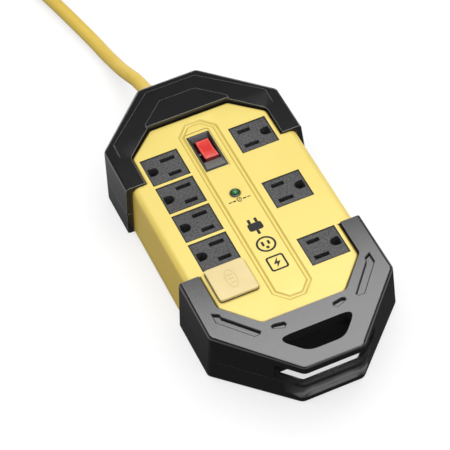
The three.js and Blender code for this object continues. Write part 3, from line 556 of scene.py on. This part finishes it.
for side in ("left", "right"):
    refine(f"neutral_bus_{side}", BRASS, 0.15)
    refine(f"hot_bus_{side}", BRASS, 0.15)
    refine(f"ground_bus_{side}", STEEL, 0.15)
for i in range(1, 7):
    refine(f"case_screw_{i}", STEEL, 0.2)
refine("strain_relief", PLUG, 0.4)
refine("plug_boot", PLUG, 0.4)
refine("plug_body", PLUG, 0.8, 3)
refine("cord_tie", TIE, 0.2)
for blade in ("plug_blade_1", "plug_blade_2", "plug_ground_pin"):
    refine(blade, BRASS, 0.25)
refine("hot_lead", WIRE_BLACK)
refine("neutral_lead", WIRE_WHITE)
refine("ground_lead", WIRE_GREEN)


# ---- Small details ------------------------------------------------------------------------------------

# Millimetres, as in the part's own source
DECK_Z = 38.0
OUTLET_X = 30.0
ROWS = {"left": (56, 30.6, 5.2, -20.2, -45.6), "right": (56, 5.2, -45.6)}
OUTLET_HALF = (12.05, 11.2)
GAP_SHADOW_OUTSIDE, GAP_SHADOW_INSIDE = 0.41, 0.4  # how far the painted shadow line reaches either side of the outlet's edge
GAP_SHADOW_Z = (DECK_Z - 1.2, DECK_Z - 0.28)


def flat_prism(bm, outer, z0, z1, inner=None):
    """A plate from z0 to z1 with the outline given, and a hole with as many points if inner is given."""
    rings = [outer] if inner is None else [outer, inner]
    low = [[bm.verts.new((x * MM, y * MM, z0 * MM)) for x, y in ring] for ring in rings]
    high = [[bm.verts.new((x * MM, y * MM, z1 * MM)) for x, y in ring] for ring in rings]
    count = len(outer)
    for below, above in zip(low, high):
        for k in range(count):
            n = (k + 1) % count
            bm.faces.new((below[k], below[n], above[n], above[k]))
    for level in (low, high):
        if inner is None:
            bm.faces.new(level[0])
            continue
        for k in range(count):
            n = (k + 1) % count
            bm.faces.new((level[0][k], level[0][n], level[1][n], level[1][k]))


def rounded(x, y, half_x, half_y, radius, per_corner=5):
    """A rectangle about (x, y) with round corners."""
    line = []
    for quarter, (sx, sy) in enumerate(((1, 1), (-1, 1), (-1, -1), (1, -1))):
        for k in range(per_corner + 1):
            angle = math.pi / 2 * (quarter + k / per_corner)
            line.append((x + sx * (half_x - radius) + radius * math.cos(angle),
                         y + sy * (half_y - radius) + radius * math.sin(angle)))
    return line


def oval(x, y, half_x, half_y, sides=32):
    """An ellipse about (x, y)."""
    turns = [2 * math.pi * k / sides for k in range(sides)]
    return [(x + half_x * math.cos(a), y + half_y * math.sin(a)) for a in turns]


def thicken(obj, thickness, offset=0):
    """Makes a sheet solid: half to each side, or all behind it with offset -1."""
    thick = obj.modifiers.new("thick", "SOLIDIFY")
    thick.thickness = thickness * MM
    thick.offset = offset


def moved(points, x, y):
    return [(x + px, y + py) for px, py in points]


def inset(points, distance):
    """An anticlockwise outline moved inwards."""
    made = []
    for i, point in enumerate(points):
        here, before, after = (Vector(p) for p in (point, points[i - 1], points[(i + 1) % len(points)]))
        a, b = (here - before).normalized(), (after - here).normalized()
        bisector = Vector((-a.y - b.y, a.x + b.x)).normalized()
        made.append(tuple(here + bisector * (distance / bisector.dot(Vector((-a.y, a.x))))))
    return made


def make_outlet_gap_shadows():
    """A dark sheet round each outlet, a little below the deck: painted shadow in the gap."""
    half_x, half_y = OUTLET_HALF
    for side, rows in ROWS.items():
        x = -OUTLET_X if side == "left" else OUTLET_X
        for i, y in enumerate(rows, 1):
            bm = bmesh.new()
            flat_prism(bm, rounded(x, y, half_x + GAP_SHADOW_OUTSIDE, half_y + GAP_SHADOW_OUTSIDE, 0.3, 2), *GAP_SHADOW_Z,
                       rounded(x, y, half_x - GAP_SHADOW_INSIDE, half_y - GAP_SHADOW_INSIDE, 0.15, 2))
            new_object(f"outlet_gap_shadow_{side}_{i}", mesh_from("gap_shadow", bm, False), material=PRINT)


PANEL_OUTLINE = [(-4.5, -72.8), (4.5, -72.8), (11.4, -65.2), (11.4, 74.4), (4.5, 82), (-4.5, 82),
                 (-11.4, 74.4), (-11.4, -65.2)]
CHANNEL_SLOPES = {  # how far each edge of a slope is outside the outline, and its height
    "outer": ((1.75, 37.95), (0.85, 37.43)),
    "inner": ((-0.85, 37.43), (-1.75, 37.95)),
}


def make_channel_slopes():
    """The shaded sloping sides of the channel round the middle panel."""
    for name, edges in CHANNEL_SLOPES.items():
        bm = bmesh.new()
        rings = [[bm.verts.new((x * MM, y * MM, z * MM)) for x, y in inset(PANEL_OUTLINE, -grow)]
                 for grow, z in edges]
        for k in range(len(PANEL_OUTLINE)):
            n = (k + 1) % len(PANEL_OUTLINE)
            bm.faces.new((rings[0][k], rings[0][n], rings[1][n], rings[1][k]))
        slope = new_object(f"panel_channel_{name}", mesh_from("panel_channel", bm, False),
                           material=YELLOW_SHADE)
        thicken(slope, 0.1)


RECESSES = {
    "long": [(-51.5, -63.5), (-51.5, -71.5), (-35.4, -91), (-31.6, -91), (-30, -89), (-46.5, -69),
             (-46.8, -66.5)],
    "small": [(-24, -90.2), (-17, -93.2), (-14.6, -90.8), (-15.4, -88.4), (-21.6, -87.2), (-24, -88)],
}
RECESS_LINE_INSETS = (0.06, 0.6)
RECESS_LINE_Z = (37.7, 39.1)


def make_recess_lines():
    """The deep shadow line just inside each recess in the handle's top."""
    for name, points in RECESSES.items():
        mirrored = [(-x, y) for x, y in reversed(points)]
        for side, shape in (("left", points), ("right", mirrored)):
            bm = bmesh.new()
            outer, inner = (inset(shape, distance) for distance in RECESS_LINE_INSETS)
            flat_prism(bm, outer, *RECESS_LINE_Z, inner)
            new_object(f"recess_line_{name}_{side}", mesh_from("recess_line", bm, False), material=PRINT)


SEAM_Z = 17.35
SEAM_SPREAD, SEAM_TUCK = 1.028, 0.9754  # scale from the outlines below to the walls, in x and in y
SEAM_HALF_HEIGHT = 0.6
SEAM_FACES = (0.9992, 0.99)  # the strip's outer and inner faces, as shares of the walls' distance
BUMPER_RUNS = {
    "cord_end": [(-59.2, 49), (-59.2, 85.4), (-20.4, 125), (20.4, 125), (59.2, 85.4), (59.2, 49)],
    "handle": [(-59.2, -35.2), (-59.2, -80.2), (-18.9, -125), (18.9, -125), (59.2, -80.2), (59.2, -35.2)],
}


def round_corners(points, radius, steps=3):
    """An open line with its inner corners rounded off."""
    line = [Vector(points[0])]
    for before, here, after in zip(points, points[1:], points[2:]):
        before, here, after = Vector(before), Vector(here), Vector(after)
        a, b = (here - before).normalized(), (after - here).normalized()
        trim = radius * math.tan(math.acos(a.dot(b)) / 2)
        start, end = here - a * trim, here + b * trim
        for k in range(steps + 1):
            t = k / steps
            line.append(start * (1 - t) ** 2 + here * 2 * t * (1 - t) + end * t * t)
    return line + [Vector(points[-1])]


def make_seam_lines():
    """A dark strip at the level of the groove between the two halves of each bumper.

    Mostly it lies just inside the walls, but it crosses the open scoop at the front of the handle, and its
    ends stand out past the bumpers' arms."""
    outer, inner = SEAM_FACES
    half = SEAM_HALF_HEIGHT
    for name, points in BUMPER_RUNS.items():
        bm = bmesh.new()
        line = [Vector((p.x * SEAM_SPREAD, p.y * SEAM_TUCK, 0)) * MM for p in round_corners(points, 5)]
        rows = [[bm.verts.new(p * scale + Vector((0, 0, (SEAM_Z + rise) * MM))) for p in line]
                for scale, rise in ((outer, -half), (outer, half), (inner, half), (inner, -half))]
        for lower, upper in zip(rows, rows[1:] + rows[:1]):
            for k in range(len(line) - 1):
                bm.faces.new((lower[k], lower[k + 1], upper[k + 1], upper[k]))
        for end in (0, -1):
            bm.faces.new([row[end] for row in rows])
        new_object(f"seam_line_{name}", mesh_from("seam_line", bm, False), material=PRINT)


def make_switch_ramp():
    """The grey ramp that leads down from the bezel's rim to the rocker."""
    top, bottom = (-7.5, 5.2, 41.95, 37.6), (-6.8, 5.0, 49.2, 36.3)  # left, right, y and height of each edge
    bm = bmesh.new()
    corners = [(x, y, z) for left, right, y, z in (top, bottom) for x in (left, right)]
    a, b, c, d = [bm.verts.new(Vector(corner) * MM) for corner in corners]
    bm.faces.new((a, b, d, c))
    ramp = new_object("switch_ramp", mesh_from("switch_ramp", bm, False), material=SWITCH_GREY)
    thicken(ramp, 0.5, offset=-1)


PRINT_Z = (DECK_Z, DECK_Z + 0.05)


def make_lamp_label():
    """A plain shield with a tick between two tapered dashes, where the lamp's caption goes."""
    x, y = 0.2, 10.6
    bm = bmesh.new()
    shield = [(-1.5, 1.4), (0, 1.9), (1.5, 1.4), (1.5, -0.1), (1.0, -1.2), (0, -1.9), (-1.0, -1.2),
              (-1.5, -0.1)]
    hollow = [(px * 0.7, py * 0.72) for px, py in shield]
    flat_prism(bm, moved(shield, x, y), *PRINT_Z, moved(hollow, x, y))
    tick = [(-0.65, 0.05), (-0.2, -0.75), (0.75, 0.6), (0.45, 0.8), (-0.22, -0.2), (-0.4, 0.2)]
    flat_prism(bm, moved(tick, x, y), *PRINT_Z)
    for sign in (-1, 1):
        for inner, outer, half in ((2.4, 4.6, 0.55), (5.2, 7.2, 0.4)):
            dash = [(sign * inner, -half), (sign * outer, -half * 0.7), (sign * outer, half * 0.7),
                    (sign * inner, half)]
            flat_prism(bm, moved(dash, x, y), *PRINT_Z)
    new_object("lamp_label_print", mesh_from("lamp_label", bm, False), material=PRINT)


def make_panel_print():
    """Three everyday electrical pictograms down the middle panel: a plug, a socket and a spark in a frame."""
    bm = bmesh.new()

    def plate(points, x, y):
        flat_prism(bm, moved(points, x, y), *PRINT_Z)

    plug_y, socket_y, spark_y = -13, -29, -45
    plate(rounded(0, -0.4, 4.6, 3.1, 1.6), 0, plug_y)
    for sign in (-1, 1):
        plate(rounded(sign * 2.2, 4.5, 0.9, 1.7, 0.3, 2), 0, plug_y)
    plate(rounded(0, -5.3, 0.9, 1.7, 0.3, 2), 0, plug_y)
    flat_prism(bm, oval(0, socket_y, 6.2, 6.2), *PRINT_Z, oval(0, socket_y, 4.9, 4.9))
    for sign, half in ((-1, 1.8), (1, 1.5)):
        plate(rounded(sign * 1.9, 0.8, 0.75, half, 0.2, 2), 0, socket_y)
    plate(oval(0, -2.7, 1.1, 1.1, 16), 0, socket_y)
    flat_prism(bm, rounded(0, spark_y, 5.7, 5.9, 1.8), *PRINT_Z, rounded(0, spark_y, 4.5, 4.7, 1.0))
    plate([(1.3, 3.9), (-2.4, -0.6), (-0.3, -0.6), (-1.3, -3.9), (2.4, 0.7), (0.3, 0.7)], 0, spark_y)
    new_object("panel_pictograms", mesh_from("panel_pictograms", bm, False), material=PRINT)


CAP_PLACE = (-OUTLET_X, ROWS["left"][-1])
CAP_EMBOSS_Z = (DECK_Z + 2.28, DECK_Z + 2.42)
CAP_GAP_SHADOW_Z = (DECK_Z + 0.04, DECK_Z + 0.26)


def make_cap_emboss():
    """A faint raised oval with three bars across it on the safety cap."""
    x, y = CAP_PLACE
    bm = bmesh.new()
    flat_prism(bm, oval(x, y, 3.6, 7.4, 40), *CAP_EMBOSS_Z, oval(x, y, 3.0, 6.8, 40))
    for step in (-3.2, 0, 3.2):
        flat_prism(bm, rounded(x, y + step, 1.9, 0.4, 0.3, 3), *CAP_EMBOSS_Z)
    emboss = new_object("safety_cover_emboss", mesh_from("cap_emboss", bm, False), "safety_cover",
                        CAP_RELIEF)
    bevel = emboss.modifiers.new("soft", "BEVEL")
    bevel.width = 0.05 * MM
    bevel.segments = 2


def make_cap_gap_shadow():
    """A dark plate in the gap under the safety cap: painted shadow."""
    x, y = CAP_PLACE
    bm = bmesh.new()
    flat_prism(bm, rounded(x, y - 0.15, 12.7, 12.95, 2, 4), *CAP_GAP_SHADOW_Z)
    new_object("safety_cover_gap_shadow", mesh_from("cap_gap_shadow", bm, False), "safety_cover", PRINT)


ROCKER_FACE = {"x": -0.4, "y": 58.9, "pivot_z": 33.8, "half_width": 4.4, "reach": 8.9, "rise": 3.6,
               "sag": 1.6, "tilt": 7}
RIM_OUTSIDE, RIM_INSIDE = 0.35, 1.15  # how far in from the rocker's sides the rim runs
RIM_PROUD = 0.05
RIM_STATIONS = [0.035, *(0.085 + 0.83 * k / 12 for k in range(13)), 0.965]  # along the face, as shares


def make_rocker_border():
    """The raised rim round the rocker's hollowed face, in a paler red as a painted highlight."""
    face = ROCKER_FACE
    tilt = math.radians(face["tilt"])
    outer, inner = face["half_width"] - RIM_OUTSIDE, face["half_width"] - RIM_INSIDE
    columns = (-outer, -inner, inner, outer)
    bm = bmesh.new()
    grid = []
    for t in RIM_STATIONS:
        y = face["reach"] * (1 - 2 * t)
        z = face["rise"] * ((1 - t) ** 2 + t * t) + face["sag"] * 2 * t * (1 - t) + RIM_PROUD
        place = (face["y"] + y * math.cos(tilt) + z * math.sin(tilt),
                 face["pivot_z"] - y * math.sin(tilt) + z * math.cos(tilt))
        grid.append([bm.verts.new(((face["x"] + c) * MM, place[0] * MM, place[1] * MM)) for c in columns])
    for row, (a, b) in enumerate(zip(grid, grid[1:])):
        for column in range(3):
            if column != 1 or row in (0, len(grid) - 2):
                bm.faces.new((a[column], a[column + 1], b[column + 1], b[column]))
    border = new_object("rocker_border", mesh_from("rocker_border", bm), "rocker", ROCKER_RIM_HIGHLIGHT)
    thicken(border, 0.12)


def make_screw_recesses():
    """The cross in the head of each screw under the base: a flat dark steel plate, painted shade for the
    recess.
    """
    arm, half, low, high = 1.7, 0.35, 1.66, 1.74
    cross = [(arm, -half), (arm, half), (half, half), (half, arm), (-half, arm), (-half, half), (-arm, half),
             (-arm, -half), (-half, -half), (-half, -arm), (half, -arm), (half, -half)]
    spots = [(x, y) for x in (-48, 48) for y in (77, -6, -71)]
    for i, (x, y) in enumerate(spots, 1):
        bm = bmesh.new()
        flat_prism(bm, moved(cross, x, y), low, high)
        new_object(f"case_screw_cross_{i}", mesh_from("cross", bm, False), material=SCREW_RECESS_SHADE)


PLUG_BACK = (24.3, 391.6, 41.6)
RIDGES = ((7.5, 9.65), (9.9, 9.9), (12.3, 10.15), (14.7, 10.4))  # distance along the plug, and reach
RIDGE_RADIUS = 0.5
RIDGE_SIDES, RIDGE_BAR_SIDES = 48, 8
RIDGE_SQUARENESS = 0.7  # 1 is round


def make_plug_ridges():
    """Four grip ridges round the waist of the plug's body."""
    back_x, centre_y, centre_z = PLUG_BACK
    for i, (along, reach) in enumerate(RIDGES, 1):
        bm = bmesh.new()
        rings = []
        for k in range(RIDGE_SIDES):
            angle = 2 * math.pi * k / RIDGE_SIDES
            c, s = math.cos(angle), math.sin(angle)
            y, z = (math.copysign(abs(v) ** RIDGE_SQUARENESS, v) for v in (s, c))
            outward = Vector((0, s, c))
            middle = Vector((back_x + along, centre_y + reach * y, centre_z + reach * z))
            turns = [2 * math.pi * j / RIDGE_BAR_SIDES for j in range(RIDGE_BAR_SIDES)]
            rings.append([bm.verts.new((middle + RIDGE_RADIUS * (outward * math.cos(a)
                                                                 + Vector((math.sin(a), 0, 0)))) * MM)
                          for a in turns])
        for a, b in zip(rings, rings[1:] + rings[:1]):
            for j in range(RIDGE_BAR_SIDES):
                n = (j + 1) % RIDGE_BAR_SIDES
                bm.faces.new((a[j], a[n], b[n], b[j]))
        new_object(f"plug_ridge_{i}", mesh_from("plug_ridge", bm), material=PLUG)


make_outlet_gap_shadows()
make_channel_slopes()
make_recess_lines()
make_seam_lines()
make_switch_ramp()
make_lamp_label()
make_panel_print()
make_cap_emboss()
make_cap_gap_shadow()
make_rocker_border()
make_screw_recesses()
make_plug_ridges()


# ---- Stage --------------------------------------------------------------------------------------------

FLOOR_ALBEDO = (0.34, 0.36)
FLOOR_GLOW = 0.62  # keeps the floor near white in the picture


def make_floor():
    """A large pale floor that doesn't light or reflect in the part."""
    bm = bmesh.new()
    bmesh.ops.create_grid(bm, x_segments=1, y_segments=1, size=4)
    finish = Finish("floor_pale", roughness=0.9, specular=0.2)
    low, high = FLOOR_ALBEDO
    finish.base(finish.colours(finish.noise(3), [(0.3, (low,) * 3), (0.7, (high,) * 3)]))
    finish.shader.inputs["Emission Color"].default_value = (1, 1, 1, 1)
    finish.shader.inputs["Emission Strength"].default_value = FLOOR_GLOW
    mesh = mesh_from("floor", bm)
    mesh.materials.append(finish.mat)
    floor = bpy.data.objects.new("floor", mesh)
    bpy.context.scene.collection.objects.link(floor)
    floor.visible_glossy = False
    floor.visible_diffuse = False


def softbox(name, place, target, width, height, radiance, diffuse=True, glossy=True):
    """A rectangular light of the given brightness, seen by matte surfaces, shiny ones or both."""
    data = bpy.data.lights.new(name, "AREA")
    data.shape = "RECTANGLE"
    data.size = width
    data.size_y = height
    data.energy = radiance * width * height * math.pi
    light = bpy.data.objects.new(name, data)
    bpy.context.scene.collection.objects.link(light)
    light.location = place
    light.rotation_mode = "QUATERNION"
    light.rotation_quaternion = (Vector(target) - Vector(place)).to_track_quat("-Z", "Y")
    light.visible_camera = False
    light.visible_diffuse = diffuse
    light.visible_glossy = glossy


# Brightness of the room against height: 0 is straight down, 0.5 the horizon, 1 straight up
MATTE_ROOM = [(0.0, 0.25), (0.49, 0.25), (0.51, 0.50), (1.0, 1.40)]
GLOSS_ROOM = [(0.0, 0.04), (0.14, 0.04), (0.2, 1.1), (0.56, 1.5), (0.64, 0.04), (1.0, 0.03)]


def level_by_height(tree, height, stops):
    ramp = tree.nodes.new("ShaderNodeValToRGB")
    fill_ramp(ramp.color_ramp, [(place, (level,) * 3) for place, level in stops])
    tree.links.new(height, ramp.inputs["Fac"])
    return ramp.outputs["Color"]


def studio_world():
    """Soft light from above for what is matte; what shines sees a bright horizon and a dark room above it."""
    world = bpy.data.worlds.new("studio")
    world.use_nodes = True
    tree = world.node_tree
    coords = tree.nodes.new("ShaderNodeTexCoord")
    split = tree.nodes.new("ShaderNodeSeparateXYZ")
    tree.links.new(coords.outputs["Generated"], split.inputs[0])
    height = tree.nodes.new("ShaderNodeMapRange")
    height.inputs["From Min"].default_value = -1
    tree.links.new(split.outputs["Z"], height.inputs["Value"])
    rays = tree.nodes.new("ShaderNodeLightPath")
    mix = tree.nodes.new("ShaderNodeMix")
    mix.data_type = "RGBA"
    tree.links.new(rays.outputs["Is Glossy Ray"], mix.inputs[0])
    tree.links.new(level_by_height(tree, height.outputs["Result"], MATTE_ROOM), mix.inputs[6])
    tree.links.new(level_by_height(tree, height.outputs["Result"], GLOSS_ROOM), mix.inputs[7])
    tree.links.new(mix.outputs[2], tree.nodes["Background"].inputs["Color"])
    bpy.context.scene.world = world


def light_scene():
    """A key light for what is matte, and three bright cards that only what shines can see."""
    studio_world()
    softbox("key", (0.55, 0.5, 1.1), (0, 0, 0.03), 0.7, 0.7, 1.8, glossy=False)
    softbox("overhead_gloss", (0.07, -0.04, 0.42), (0.07, -0.04, 0), 0.6, 0.58, 7.5, diffuse=False)
    softbox("back_gloss", (0.3, 1.4, 0.35), (0, 0, 0.03), 1.6, 0.3, 4, diffuse=False)
    softbox("front_gloss", (0.3, -1.0, 0.75), (0, -0.12, 0.02), 0.9, 0.6, 3, diffuse=False)
    scene = bpy.context.scene
    scene.view_settings.view_transform = "Standard"
    scene.view_settings.look = "None"


make_floor()
light_scene()
